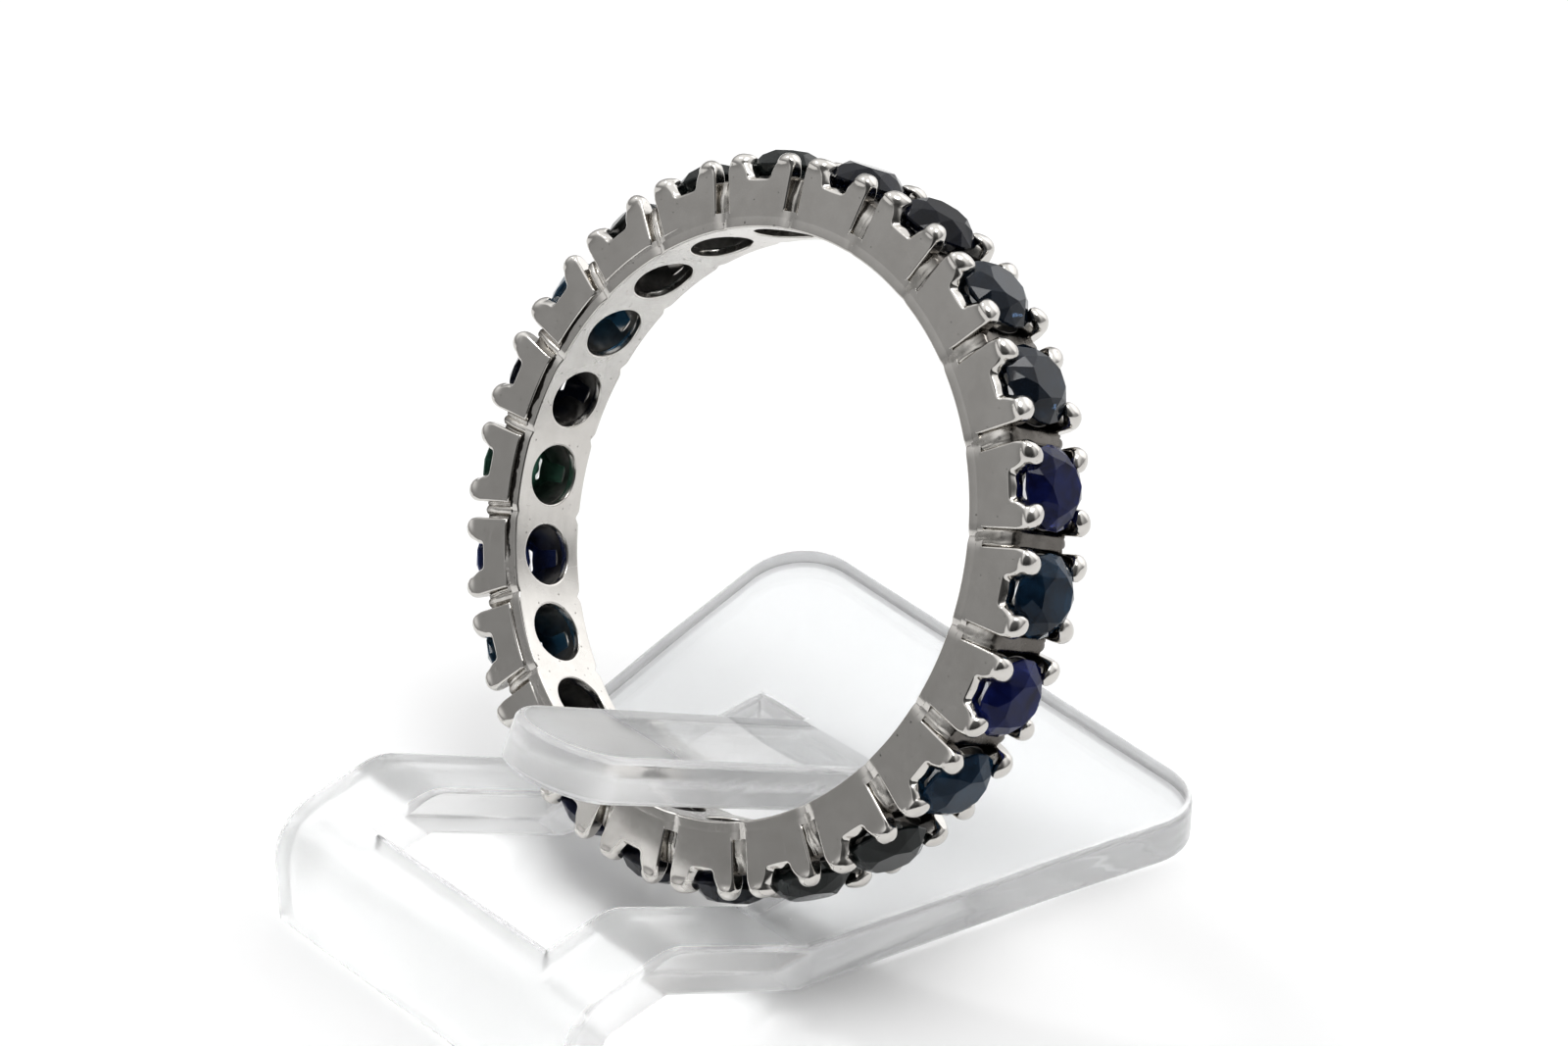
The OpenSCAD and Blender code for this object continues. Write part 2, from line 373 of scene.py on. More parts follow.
def white_metal(name, light=METAL, dark=METAL_WORN, smooth=END_SMOOTH, scratch_share=0.42,
                pit_share=0.5, pit_scale=5.0, grain=(1.0, 1.0, 1.0), uneven=0.05, patchy=0.45,
                darker_high=0.0, gap=False):
    """Polished white metal: fine scratches and pits in the height, the pits darker in colour, and
    cloudy wear in colour and gloss. The ring's two flat ends are polished most, and the rest by the
    given amount. A share darkens the metal that lies high in the grooves, and gap paints black shade
    on the near rim beside the open stretch of the joint."""
    made, tree, shader = material(name)
    place = object_mm(tree)
    wear = use_group(tree, SMUDGES, place, Scale=1.1)
    haze = use_group(tree, SMUDGES, place, Scale=7.0)
    lines = use_group(tree, HAIRLINES, place, Scale=1.3, Width=0.012, Share=scratch_share)
    pits = use_group(tree, PITS, place, Scale=pit_scale, Size=0.16, Share=pit_share)
    brushed = use_group(tree, SMUDGES, ring_mm(tree, grain), Scale=1.0)
    axial = node(tree, "SeparateXYZ", Vector=ring_mm(tree, (1.0, 1.0, 1.0))).outputs
    square = [math(tree, "POWER", axial[k], 2.0) for k in (0, 1)]
    radius = math(tree, "SQRT", plus(tree, *square))
    skin = math(tree, "LESS_THAN", math(tree, "ABSOLUTE", axial[2]), HALF_BAND - 0.02)

    tint = blend(tree, times(tree, wear, patchy), light, dark)
    # the pits are darker in colour
    tint = blend(tree, times(tree, pits, 0.9), tint, PIT_DARK)
    # the metal is darker toward the tops of the grooves, by the given share
    if darker_high:
        high = ramp(tree, radius, DARK_FROM, DARK_FULL)
        tint = blend(tree, times(tree, high, darker_high), tint, GROOVE_TOP_DARK)
    # painted shade: the near rim beside the open stretch of the joint is blackened
    open_rim = 0.0
    if gap:
        open_rim = open_rim_shade_mask(tree, place, axial, radius)
        tint = blend(tree, open_rim, tint, OPEN_RIM_SHADE)
    rough = plus(tree, times(tree, haze, 0.5 * uneven), END_SMOOTH,
                 times(tree, skin, smooth - END_SMOOTH), times(tree, brushed, uneven),
                 times(tree, lines, 0.06), times(tree, open_rim, 0.4))
    height = minus(tree, times(tree, pits, -1.0), times(tree, lines, 0.06))
    height = plus(tree, height, times(tree, brushed, uneven))
    fill(tree, shader, Base_Color=tint, Metallic=1.0, Roughness=rough,
         Normal=relief(tree, height, 0.4, 0.005))
    return made


def seam_metal():
    """The joint between the boxes and the inner band: metal like theirs where it is filled, and
    rough with painted black shade where the points' mark says that it lies deep and open."""
    made, tree, shader = material("seam_rough")
    place = object_mm(tree)
    deep = node(tree, "Attribute", {"attribute_name": "mark"}).outputs["Fac"]
    grain = use_group(tree, SMUDGES, place, Scale=9.0)
    wear = use_group(tree, SMUDGES, place, Scale=1.1)
    clean = blend(tree, times(tree, wear, 0.45), METAL, METAL_WORN)
    # painted shade: near black where the joint lies deep and open
    gap_shade = blend(tree, grain, (0.012, 0.010, 0.009, 1.0), (0.09, 0.085, 0.08, 1.0))
    fill(tree, shader, Base_Color=blend(tree, deep, clean, gap_shade), Metallic=1.0,
         Roughness=plus(tree, times(tree, deep, 0.4), 0.135),
         Normal=relief(tree, times(tree, grain, deep), 1.0, 0.03))
    return made


def sapphire(name, deep, pale, bending):
    """Dark cut stone: a clear body of one hue, with cloudy zones where it is a little paler, and
    small dull nicks."""
    made, tree, shader = material(name)
    place = object_mm(tree)
    zones = use_group(tree, SMUDGES, place, Scale=0.9)
    nicks = use_group(tree, PITS, place, Scale=6.0, Size=0.1, Share=0.15)
    fill(tree, shader, Base_Color=blend(tree, zones, (*deep, 1.0), (*pale, 1.0)),
         Transmission_Weight=0.6, IOR=bending, Roughness=plus(tree, times(tree, nicks, 0.3), 0.02))
    return made


def let_lamps_through(tree, shader):
    """A lamp's ray passes the plastic as a pale film does, so that what lies under it is lit."""
    film = node(tree, "BsdfTransparent", Color=(0.96, 0.965, 0.965, 1.0)).outputs[0]
    lamp_ray = node(tree, "LightPath").outputs["Is Shadow Ray"]
    both = node(tree, "MixShader", in0=lamp_ray, in1=shader.outputs[0], in2=film)
    out = next(n for n in tree.nodes if n.type == "OUTPUT_MATERIAL")
    tree.links.new(both.outputs[0], out.inputs["Surface"])


def toward_front(tree, place):
    """Grows from 0 to 1 where the stand's folded front begins."""
    return ramp(tree, node(tree, "SeparateXYZ", Vector=place).outputs[1], -1.0, -5.0, soft=True)


def clear_sheet():
    """Clear bent plastic: glass-like, with faint scratches and dust specks, and duller at the front,
    where painted light also makes it paler."""
    made, tree, shader = material("clear_plastic")
    place = object_mm(tree)
    lines = use_group(tree, HAIRLINES, place, Scale=0.9, Width=0.004, Share=0.45)
    specks = use_group(tree, PITS, place, Scale=1.6, Size=0.07, Share=0.3)
    front = toward_front(tree, place)
    marks = plus(tree, times(tree, lines, 0.2), times(tree, specks, 0.4))
    worn = plus(tree, times(tree, front, 0.33), 0.03)
    # painted light: the base colour is paler toward the front
    fill(tree, shader, Transmission_Weight=1.0, IOR=PLASTIC_BENDING, Roughness=plus(tree, marks, worn),
         Base_Color=blend(tree, front, (0.78, 0.785, 0.79, 1.0), (0.955, 0.96, 0.96, 1.0)),
         Normal=relief(tree, times(tree, lines, -1.0), 0.2, 0.001))
    let_lamps_through(tree, shader)
    return made


def cut_edge():
    """The sheet's sawn and flame-polished edges: milky from outside and whitened by painted light at
    the front, with long flat waves behind the front, and there rough and greyed by painted shade where
    one looks into them from inside the sheet."""
    made, tree, shader = material("cut_edge")
    place = object_mm(tree)
    cloud = noise(tree, place, Scale=0.45, Detail=0.0)
    front = toward_front(tree, place)
    behind = minus(tree, 1.0, front)
    inside = node(tree, "NewGeometry").outputs["Backfacing"]
    milky = blend(tree, cloud, (0.98, 0.985, 0.985, 1.0), (0.86, 0.865, 0.865, 1.0))
    # painted light: the milky colour goes to white toward the front
    milky = blend(tree, front, milky, (1.0, 1.0, 1.0, 1.0))
    # painted shade: seen from inside the sheet the edge is grey behind the front, and painted light
    # makes it nearly white at the front
    inner = blend(tree, front, (0.44, 0.44, 0.445, 1.0), (0.97, 0.97, 0.97, 1.0))
    rough = plus(tree, times(tree, cloud, 0.16), 0.08)
    sawn = times(tree, times(tree, inside, behind), 0.25)
    waves = noise(tree, stretched(tree, place, (0.22, 0.22, 1.5)), Scale=1.0, Detail=1.0)
    fill(tree, shader, Base_Color=blend(tree, inside, milky, inner), Transmission_Weight=0.8,
         IOR=PLASTIC_BENDING, Roughness=plus(tree, rough, sawn),
         Normal=relief(tree, times(tree, waves, behind), 0.6, 0.12))
    let_lamps_through(tree, shader)
    return made


# Shapes and meshes


def steps(knots, counts):
    """Values from knot to knot, evenly spread: each stretch has its count, both knots included."""
    stretches = zip(knots[:-1], knots[1:], counts)
    runs = [np.linspace(start, end, count)[1:] for start, end, count in stretches]
    return np.concatenate([knots[:1], *runs])


def soft_step(share):
    """Goes from 0 to 1 with soft ends while the share does."""
    return share * share * (3 - 2 * share)


def grid_faces(rows, columns, around=False):
    """Four-sided faces between neighbours on a grid of rows by columns; around joins the last column
    to the first."""
    row = np.arange(rows - 1)[:, None]
    col = np.arange(columns if around else columns - 1)[None, :]
    nxt = (col + 1) % columns
    low, high = row * columns, (row + 1) * columns
    return np.stack([low + col, low + nxt, high + nxt, high + col], axis=-1).reshape(-1, 4)


def in_ring(points):
    """Ring coordinates (x, y, w) to object coordinates: the band's middle plus each part along its
    axis."""
    return RING_MID + points[..., 0:1] * RING_X + points[..., 1:2] * RING_Y + points[..., 2:3] * RING_W


def at_angle(points, angle):
    """Turns (u, y, w) of one setting by an angle round the ring's axis, anticlockwise from the
    front."""
    u, y, w = np.moveaxis(points, -1, 0)
    x = u * np.cos(angle) - y * np.sin(angle)
    return np.stack([x, u * np.sin(angle) + y * np.cos(angle), w], axis=-1)


def all_round(points, faces):
    """One shape repeated at the 22 settings, each turned by a pitch more."""
    return [(at_angle(points, ROLL + PITCH * j), faces) for j in range(STONES)]


def joined(parts):
    """Stacks several (points, faces) pairs into one, with the faces' numbers moved on."""
    points, faces, start = [], [], 0
    for some_points, some_faces in parts:
        some_points = np.reshape(some_points, (-1, 3))
        points.append(some_points)
        faces.append(np.asarray(some_faces) + start)
        start += len(some_points)
    return np.concatenate(points), np.concatenate(faces)


def shade_by_area(mesh):
    """Smooth shading that leaves large flat faces flat: each vertex normal is the sum of the
    neighbouring faces' normals, each times the square of its area."""
    count = len(mesh.polygons)
    area, normal = np.empty(count), np.empty(3 * count)
    sides, corner = np.empty(count, int), np.empty(len(mesh.loops), int)
    mesh.polygons.foreach_get("area", area)
    mesh.polygons.foreach_get("normal", normal)
    mesh.polygons.foreach_get("loop_total", sides)
    mesh.loops.foreach_get("vertex_index", corner)
    share = normal.reshape(-1, 3) * (area[:, None] / area.max()) ** 2
    total = np.zeros((len(mesh.vertices), 3))
    np.add.at(total, corner, np.repeat(share, sides, axis=0))
    total = total / np.maximum(np.linalg.norm(total, axis=-1, keepdims=True), 1e-30)
    mesh.normals_split_custom_set_from_vertices(total.tolist())


def closed_mesh(name, points, faces, marks=None, which=None):
    """Mesh from points in millimetres and faces, with its seams and poles welded and all its faces
    turned outward. The marks are one number for each point, and which is each face's material."""
    mesh = bpy.data.meshes.new(name)
    mesh.from_pydata((np.reshape(points, (-1, 3)) * MM).tolist(), [],
                     faces if isinstance(faces, list) else faces.tolist())
    if marks is not None:
        attribute = mesh.attributes.new("mark", "FLOAT", "POINT")
        attribute.data.foreach_set("value", np.asarray(marks, np.float32))
    if which is not None:
        mesh.polygons.foreach_set("material_index", np.asarray(which, np.int32))
    body = bmesh.new()
    body.from_mesh(mesh)
    bmesh.ops.remove_doubles(body, verts=body.verts, dist=WELD)
    bmesh.ops.dissolve_degenerate(body, edges=body.edges, dist=WELD)
    bmesh.ops.recalc_face_normals(body, faces=body.faces)
    body.to_mesh(mesh)
    body.free()
    return mesh


def make_piece(name, shape, finishes, cad_node, smooth=True, marks=None, which=None):
    """One visible piece, which takes the place of a CAD node. The shape is its points and faces;
    where there are two finishes, which says for each face if it has the first or the second."""
    mesh = closed_mesh(name, *shape, marks, which)
    for finish in finishes:
        mesh.materials.append(finish)
    mesh.polygons.foreach_set("use_smooth", np.full(len(mesh.polygons), smooth))
    if smooth:
        shade_by_area(mesh)
    piece = bpy.data.objects.new(name, mesh)
    bpy.context.scene.collection.objects.link(piece)
    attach(piece, BODY)
    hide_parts(cad_node)


# The ring's metal


def half_edge(u, depth):
    """Half the band's width at a place along one cell: a small dent beside each groove, left by the
    saw."""
    cell = BORE_R * PITCH / 2
    return HALF_BAND - depth * np.exp(-((np.abs(u) - cell) / DENT_WIDE) ** 2)


def inner_band():
    """The band with 22 round windows. One cell is a fan of rows from its border to the window and
    back: each point is the window's edge plus a share of the way to the border, at the row's radius.
    The band's two edges are strips from the inner skin over a rounded corner to the flat face, which
    ends inside the joint."""
    cell = BORE_R * PITCH / 2
    side = np.sin(np.linspace(-1, 1, 17)[:-1] * np.pi / 2)
    ones = np.ones(len(side))
    u = np.concatenate([side, ones, -side, -ones]) * cell
    w = np.concatenate([-ones, side, ones, -side])
    w = w * (half_edge(u, np.where(w > 0, DENT_NEAR, DENT_FAR)) - SKIN_EDGE)
    turn = np.arctan2(w, u)
    arc = np.linspace(0, np.pi / 2, 5)
    # each row: the share of the way to the border, how much wider than the window, and the radius
    rows = [(1.0, 0.0, LINER_R), (0.6, 0.0, LINER_R), (0.25, 0.0, LINER_R), (0.0, 0.02, LINER_R)]
    rows += [(0.0, 0.0, LINER_R - 0.1), (0.0, 0.0, BORE_R + 0.15)]
    rows += [(0.0, WINDOW_RIM * (1 - np.cos(a)), BORE_R + WINDOW_RIM * (1 - np.sin(a))) for a in arc]
    rows += [(share, WINDOW_RIM, BORE_R) for share in (0.08, 0.3, 0.6, 0.85, 1.0)]
    share, grow, radius = (np.array(column)[:, None] for column in zip(*rows))
    wide = (WINDOW_R + grow) * np.cos(turn) * (1 - share) + u * share
    high = (WINDOW_R + grow) * np.sin(turn) * (1 - share) + w * share
    angle = wide / BORE_R
    fan = np.stack([radius * np.sin(angle), radius * np.cos(angle), high], axis=-1)
    parts = all_round(fan, grid_faces(len(rows), len(u), around=True))

    u = np.append(side, 1.0) * cell
    angle = u[None, :] / BORE_R
    over = [[BORE_R + SKIN_EDGE * (1 - np.cos(a)), SKIN_EDGE * np.sin(a)] for a in arc]
    over = np.array(over + [[LINER_R, SKIN_EDGE], [LINER_R, 0.0]])
    radius, out = over[:, 0:1], over[:, 1:2]
    for way, dent in ((-1, DENT_FAR), (1, DENT_NEAR)):
        reach = way * (half_edge(u, dent)[None, :] - SKIN_EDGE + out)
        strip = np.stack([radius * np.sin(angle), radius * np.cos(angle), reach], axis=-1)
        parts += all_round(strip, grid_faces(len(over), len(u)))
    return joined(parts)


def rounded_loop(half_wide, half_high, corner, steps_in_corner=5):
    """Closed outline of a rectangle with round corners, as two arrays over rows by outline points.
    Two more points lie on each long side, four on the first short side and one on the other, so
    that it can swell to a round and take a bevel."""
    turn = np.linspace(0, np.pi / 2, steps_in_corner)
    turn = turn[None, :] + np.arange(4)[:, None] * np.pi / 2
    sign_x = np.array([1, -1, -1, 1])[None, :, None]
    sign_y = np.array([1, 1, -1, -1])[None, :, None]
    half_wide, half_high, corner = (part[:, None, None] for part in (half_wide, half_high, corner))
    x = sign_x * (half_wide - corner) + corner * np.cos(turn)
    y = sign_y * (half_high - corner) + corner * np.sin(turn)
    sides = []
    for part in (x, y):
        runs = []
        for k, shares in enumerate(((1 / 3, 2 / 3), (0.14, 0.28, 0.42, 0.7), (1 / 3, 2 / 3), (0.5,))):
            first, last = part[:, k, -1:], part[:, (k + 1) % 4, :1]
            runs += [part[:, k], *(first + (last - first) * share for share in shares)]
        sides.append(np.concatenate(runs, axis=1))
    return sides


def wall_outlines():
    """The right half of a side wall in four groups of rows: the foot, the notch's corner, the claw
    and its dome. Gives the places (u, y) on the notch's outline and on the wall's outer outline, how
    far up the claw each row is from 0 to 1, and its angle on the dome."""
    groove = GROOVE / 2 / np.cos(PITCH / 2)

    def side_u(y):
        """Where the groove's side is at a height: half a pitch from the middle, less half a groove."""
        return y * np.tan(PITCH / 2) - groove

    foot = np.linspace(0, 1, 6)[:-1]
    corner = np.linspace(0, 1, 7)[:-1]
    claw = np.linspace(0, 1, 8)
    dome = np.radians([8, 16, 25, 34, 43, 52, 61, 70, 78, 85, 90])
    none, whole = np.zeros(len(foot) + len(corner)), np.ones(len(dome))
    foot_corner = side_u(FOOT_R - 0.06)
    floor = FLOOR_R + NOTCH_ROUND
    foot_out = np.sqrt(FOOT_R**2 - (foot * foot_corner) ** 2)
    start_y = np.sqrt(FOOT_R**2 - foot_corner**2)
    rise_y = start_y + (floor - start_y) * corner
    claw_y = floor + (DOME_R - floor) * claw
    bend = np.pi / 2 * corner
    in_u = np.concatenate([foot * (NOTCH_FLOOR - NOTCH_ROUND),
                           NOTCH_FLOOR - NOTCH_ROUND + NOTCH_ROUND * np.sin(bend),
                           NOTCH_FLOOR + (NOTCH_TOP - NOTCH_FLOOR) * claw, NOTCH_TOP * whole])
    in_y = np.concatenate([np.full(len(foot), FLOOR_R), floor - NOTCH_ROUND * np.cos(bend),
                           claw_y, DOME_R * whole])
    out_u = np.concatenate([foot * foot_corner, side_u(rise_y), side_u(claw_y), side_u(DOME_R) * whole])
    out_y = np.concatenate([foot_out, rise_y, claw_y, DOME_R * whole])
    claw_at = np.concatenate([none, claw, whole])
    dome_at = np.concatenate([none, 0 * claw, dome])
    return np.stack([in_u, in_y], axis=-1), np.stack([out_u, out_y], axis=-1), claw_at, dome_at


def side_wall(rng):
    """One side wall of a box as a strip that runs from one claw's tip down, along the foot and up
    the other claw. Each row's section is a round-cornered rectangle between the notch's outline and
    the wall's outer outline, with the notch side cut at a slant. Over the notch the section stays
    level and changes to a round, which shrinks as a dome does while its middle moves over the
    stone."""
    inner, outer, claw_at, dome_at = wall_outlines()
    mid = (inner + outer) / 2
    across = outer - inner
    half = np.linalg.norm(across, axis=-1) / 2
    across = across / (2 * half[:, None])
    rise, fall = np.sin(dome_at), np.cos(dome_at)

    halves = []
    for way in (-1, 1):
        fat = 1 + rng.uniform(-CLAW_FATTER, CLAW_FATTER)
        high = DOME_H * (1 + rng.uniform(-CLAW_LOWER, CLAW_HIGHER))
        lean = rng.uniform(*CLAW_LEANS)
        turned = np.radians(CLAW_TURN + rng.uniform(-CLAW_TURN_OFF, CLAW_TURN_OFF))
        wide = half * (1 + (fat - 1) * claw_at)
        corner_r = WALL_CORNER + CORNER_GAIN * claw_at**1.5
        along, through = rounded_loop(wide, np.full(len(wide), WALL_T / 2), corner_r)
        # the notch side is bevelled: behind the near face it stands into the notch
        deep = np.clip((WALL_T / 2 - through) / BEVEL_DEPTH, 0, 1)
        bevel = NOTCH_BEVEL * soft_step(deep) * np.clip(-along / wide[:, None] * 4, 0, 1)
        along = along - bevel * (1 - BEVEL_LOSS * claw_at[:, None])
        u = mid[:, 0:1] + across[:, 0:1] * along
        y = mid[:, 1:2] + across[:, 1:2] * along
        # the round: an oval with its long side toward the stone, whose points lie in the same
        # directions as the rectangle's points
        toward_u, toward_w = -np.cos(turned), -np.sin(turned)
        angle = np.arctan2(through, u - mid[:, 0:1]) - np.arctan2(toward_w, toward_u)
        back = CLAW_LONG * fat * fall**0.9
        front = CLAW_LONG * fat * fall**0.75 + lean * np.sin(2 * dome_at) * 0.9
        middle = (front - back) / 2 + 0.05 * rise
        reach = np.maximum((front + back) / 2, TIP_FLAT)
        side = np.maximum(CLAW_WIDE * fat * fall**0.8, TIP_FLAT)
        long_part = middle[:, None] + reach[:, None] * np.cos(angle)
        side_part = side[:, None] * np.sin(angle)
        round_u = mid[:, 0:1] + long_part * toward_u - side_part * toward_w
        round_w = long_part * toward_w + side_part * toward_u
        share = soft_step(np.clip((dome_at + 0.35 * claw_at**3) / 0.95, 0, 1)[:, None] ** 0.8)
        u = u + (round_u - u) * share
        w = through + (round_w - through) * share
        y = y + high * rise[:, None]
        halves.append(np.stack([way * u, y, w], axis=-1))
    return np.concatenate([halves[0][::-1], halves[1][1:]])


def boxes(rng):
    """22 open boxes: two mirrored side walls each, set round the ring."""
    parts = []
    for j in range(STONES):
        for way in (-1, 1):
            wall = side_wall(rng)
            wall[..., 2] = way * (HALF_BAND - WALL_T / 2 + wall[..., 2])
            faces = grid_faces(*wall.shape[:2], around=True)
            parts.append((at_angle(wall, ROLL + PITCH * j), faces))
    return joined(parts)


def rib(off, middle, half):
    """A rib's round rise: 1 over its middle, and 0 from its half width on."""
    return np.sqrt(np.clip(1 - ((off - middle) / half) ** 2, 0, 1))


def cross_bars(rng):
    """Bars across the band in the 22 grooves. A bar's outline from above is a rectangle whose two
    ends carry two ribs side by side, a wide and a narrow one; it is carried outward with small waves
    and a rounded top. The near ends on the right are filled nearly flat, and three at the bottom lie
    deeper."""
    parts = []
    half_u = GROOVE / 2 + BAR_OVERLAP
    across = np.linspace(-1, 1, 19)
    bend = np.linspace(0.2, np.pi / 2, 6)
    inset = np.concatenate([np.zeros(9), BAR_ROUND * (1 - np.cos(bend)), [0.2, half_u]])[:, None]
    for j in range(STONES):
        top = BAR_R + rng.uniform(-BAR_LOWER, BAR_HIGHER)
        low = top - BAR_ROUND
        heights = np.concatenate([np.linspace(LINER_R - BAR_OVERLAP, low, 9),
                                  low + BAR_ROUND * np.sin(bend), [top, top]])[:, None]
        loops = []
        for way in (1, -1):
            deeper = BAR_DEEPER if j in DEEP_BARS and way > 0 else 0.0
            back = BAR_BACK + rng.uniform(-0.01, 0.03) + deeper
            back = back + BAR_SLANT * np.clip((heights - SLANT_FROM) / SLANT_RISE, 0, 1)
            off = across - rng.uniform(-0.25, 0.1)
            wide_rib = rib(off, 0.0, 0.52)
            thin_rib = rib(off, 0.74, 0.22)
            ribs = 0.17 * wide_rib + 0.11 * thin_rib
            if j in FULL_BARS and way > 0:
                ribs = 0.15 * (1 - across**8) + 0.025 * wide_rib + 0.02 * thin_rib
            wave = 0.011 * np.sin(heights * rng.uniform(9, 17) + across * 3 + rng.uniform(0, 6))
            ripple = np.sin(heights * rng.uniform(30, 45) - across * 9 + rng.uniform(0, 6))
            wave = wave + 0.006 * ripple
            u = (half_u - inset) * across
            w = HALF_BAND - back - inset + (ribs + wave) * np.clip(1 - inset / 0.15, 0, 1)
            loops.append(np.stack([way * u, heights + 0 * across, way * w], axis=-1))
        bar = np.concatenate(loops, axis=1)
        faces = grid_faces(*bar.shape[:2], around=True)
        parts.append((at_angle(bar, ROLL + PITCH * (j + 0.5)), faces))
    return joined(parts)


def stretch_of(turn, start, grows, end, fades):
    """Grows from 0 to 1 after the start and fades again before the end; all in degrees."""
    return np.clip((turn - start) / grows, 0, 1) * np.clip((end - turn) / fades, 0, 1)


def seam_depth(angle):
    """How open the joint is on the near face: fully on the left stretch, partly before and after it,
    and closed elsewhere. The angle runs anticlockwise from the ring's top."""
    turn = np.degrees(angle) % 360
    fully = stretch_of(turn, 61, 6, 120, 6)
    return fully + 0.45 * stretch_of(turn, 120, 6, 150, 12) + 0.25 * stretch_of(turn, 38, 12, 64, 4)


def seam(rng, way):
    """The joint between boxes and band: a small round-cornered strip carried round the ring. Its
    outer face is level with the boxes where it is well filled, lies deeper and rougher where it is
    not, and has a dent at each groove."""
    around = np.linspace(0, 2 * np.pi, 80 * STONES, endpoint=False)
    waves = sum(rng.uniform(0.4, 1) * np.sin(k * around + rng.uniform(0, 6.28)) / 5
                for k in (41, 87, 133, 201, 290, 377))
    dark = seam_depth(around) if way > 0 else 0.15 + 0 * around
    cell = np.abs((around - ROLL) / PITCH - np.round((around - ROLL) / PITCH))
    dent = (0.05 + 0.05 * dark) * np.exp(-(((0.5 - cell) / 0.075) ** 2))
    sunk = 0.0002 + SEAM_OPEN * np.clip(dark + 0.25 * dark * waves, 0, 1) + dent
    half_r = SEAM_HALF_R - 0.03 * np.clip(2 * dark, 0, 1) + 0.03 * dark * waves
    half_w, corner_r = SEAM_HALF_W + 0 * around, 0.006 + 0 * around
    u, w = rounded_loop(half_r, half_w, corner_r, steps_in_corner=3)
    radius = (LINER_R + FOOT_R) / 2 + u
    w = way * (HALF_BAND - SEAM_HALF_W - sunk[:, None] + w)
    angle = around[:, None]
    points = np.stack([-radius * np.sin(angle), radius * np.cos(angle), w], axis=-1)
    points = np.concatenate([points, points[:1]])
    return points, grid_faces(len(points), points.shape[1], around=True)


def box_floors():
    """What joins each box to the band: a plain ring under each side wall, and a bore from each
    window up to its stone, which is a thin shell of revolution that widens to a seat."""
    angle = np.linspace(0, 2 * np.pi, 16 * STONES, endpoint=False)[:, None]
    low, high = LINER_R - OVERLAP, FOOT_R + OVERLAP
    inside, outside = 0.98, 1.2
    radius = np.array([low, high, high, low])
    width = np.array([inside, inside, outside, outside])
    parts = []
    for way in (-1, 1):
        x, y = radius * np.sin(angle), radius * np.cos(angle)
        points = np.stack([x, y, way * width + 0 * x], axis=-1)
        points = np.concatenate([points, points[:1]])
        parts.append((points, grid_faces(len(points), 4, around=True)))
    turn = np.linspace(0, 2 * np.pi, 48, endpoint=False)
    across, up = BORE_WALL[:, 0:1], BORE_WALL[:, 1:2]
    bore = np.stack([across * np.cos(turn), up + 0 * turn, across * np.sin(turn)], axis=-1)
    return joined(parts + all_round(bore, grid_faces(len(BORE_WALL), len(turn), around=True)))


# The stones


def brilliant(rng):
    """A round brilliant cut. Rings of points at set heights and radii: table 8, stars 8, girdle 16
    twice, lower mains 8 and the point below. Kites, stars and halves join them; every facet is flat
    or nearly so."""
    eight = np.arange(8) * np.pi / 4
    sixteen = np.arange(16) * np.pi / 8
    between = eight + np.pi / 8
    wobble = rng.uniform(-TABLE_OFF, TABLE_OFF, 8)

    def circle(radius, height, angle):
        """Points at a height and a radius, at the given angles."""
        return np.stack([radius * np.cos(angle), height + 0 * angle, radius * np.sin(angle)], axis=-1)

    star_r = TABLE_R + STAR_SHARE * (STONE_R - TABLE_R)
    low_r = STONE_R * LOWER_SHARE
    middle = np.cos(np.pi / 8)
    star_y = CROWN_H - (CROWN_H - HALF_GIRDLE) * (star_r * middle - TABLE_R) / (STONE_R - TABLE_R)
    low_y = (PAVILION_H - HALF_GIRDLE) * low_r * middle / STONE_R - PAVILION_H
    points = np.concatenate([
        circle(TABLE_R + wobble, CROWN_H, eight),
        circle(star_r, star_y, between),
        circle(STONE_R, HALF_GIRDLE, sixteen),
        circle(STONE_R, -HALF_GIRDLE, sixteen),
        circle(low_r, low_y, between),
        np.array([[0.0, -PAVILION_H, 0.0]]),
    ])
    # the first point's number in each ring, and the numbers round it
    table, star, top, bottom, low, tip = 0, 8, 16, 32, 48, 56
    side, edge = np.arange(8), np.arange(16)
    next_side, next_edge = (side + 1) % 8, (edge + 1) % 16
    first, second, third = 2 * side, 2 * side + 1, (2 * side + 2) % 16
    facets = [
        (table + side, table + next_side, star + side),
        (table + next_side, star + next_side, top + third, star + side),
        (star + side, top + second, top + first),
        (star + side, top + third, top + second),
        (top + edge, top + next_edge, bottom + next_edge, bottom + edge),
        (low + side, bottom + first, bottom + second),
        (low + side, bottom + second, bottom + third),
        (low + side, bottom + third, low + next_side, np.full(8, tip)),
    ]
    faces = [list(range(7, -1, -1))]
    for facet in facets:
        faces += np.stack(facet, axis=-1).tolist()
    return points, faces


def stone(rng, j):
    """One stone in its seat: turned about its own axis and tipped a little, as hand setting leaves
    it."""
    points, faces = brilliant(rng)
    turn = rng.uniform(0, np.pi / 4)
    x, y, z = points.T
    x, z = x * np.cos(turn) - z * np.sin(turn), x * np.sin(turn) + z * np.cos(turn)
    tip = np.radians(rng.uniform(-STONE_TIP, STONE_TIP))
    x, y = x * np.cos(tip) - y * np.sin(tip), x * np.sin(tip) + y * np.cos(tip)
    tip = np.radians(rng.uniform(-STONE_TIP, STONE_TIP))
    z, y = z * np.cos(tip) - y * np.sin(tip), z * np.sin(tip) + y * np.cos(tip)
    y = y + GIRDLE_R + rng.uniform(-STONE_SUNK, 0.0)
    return at_angle(np.stack([x, y, z], axis=-1), ROLL + PITCH * (j - 1)), faces


# The stand


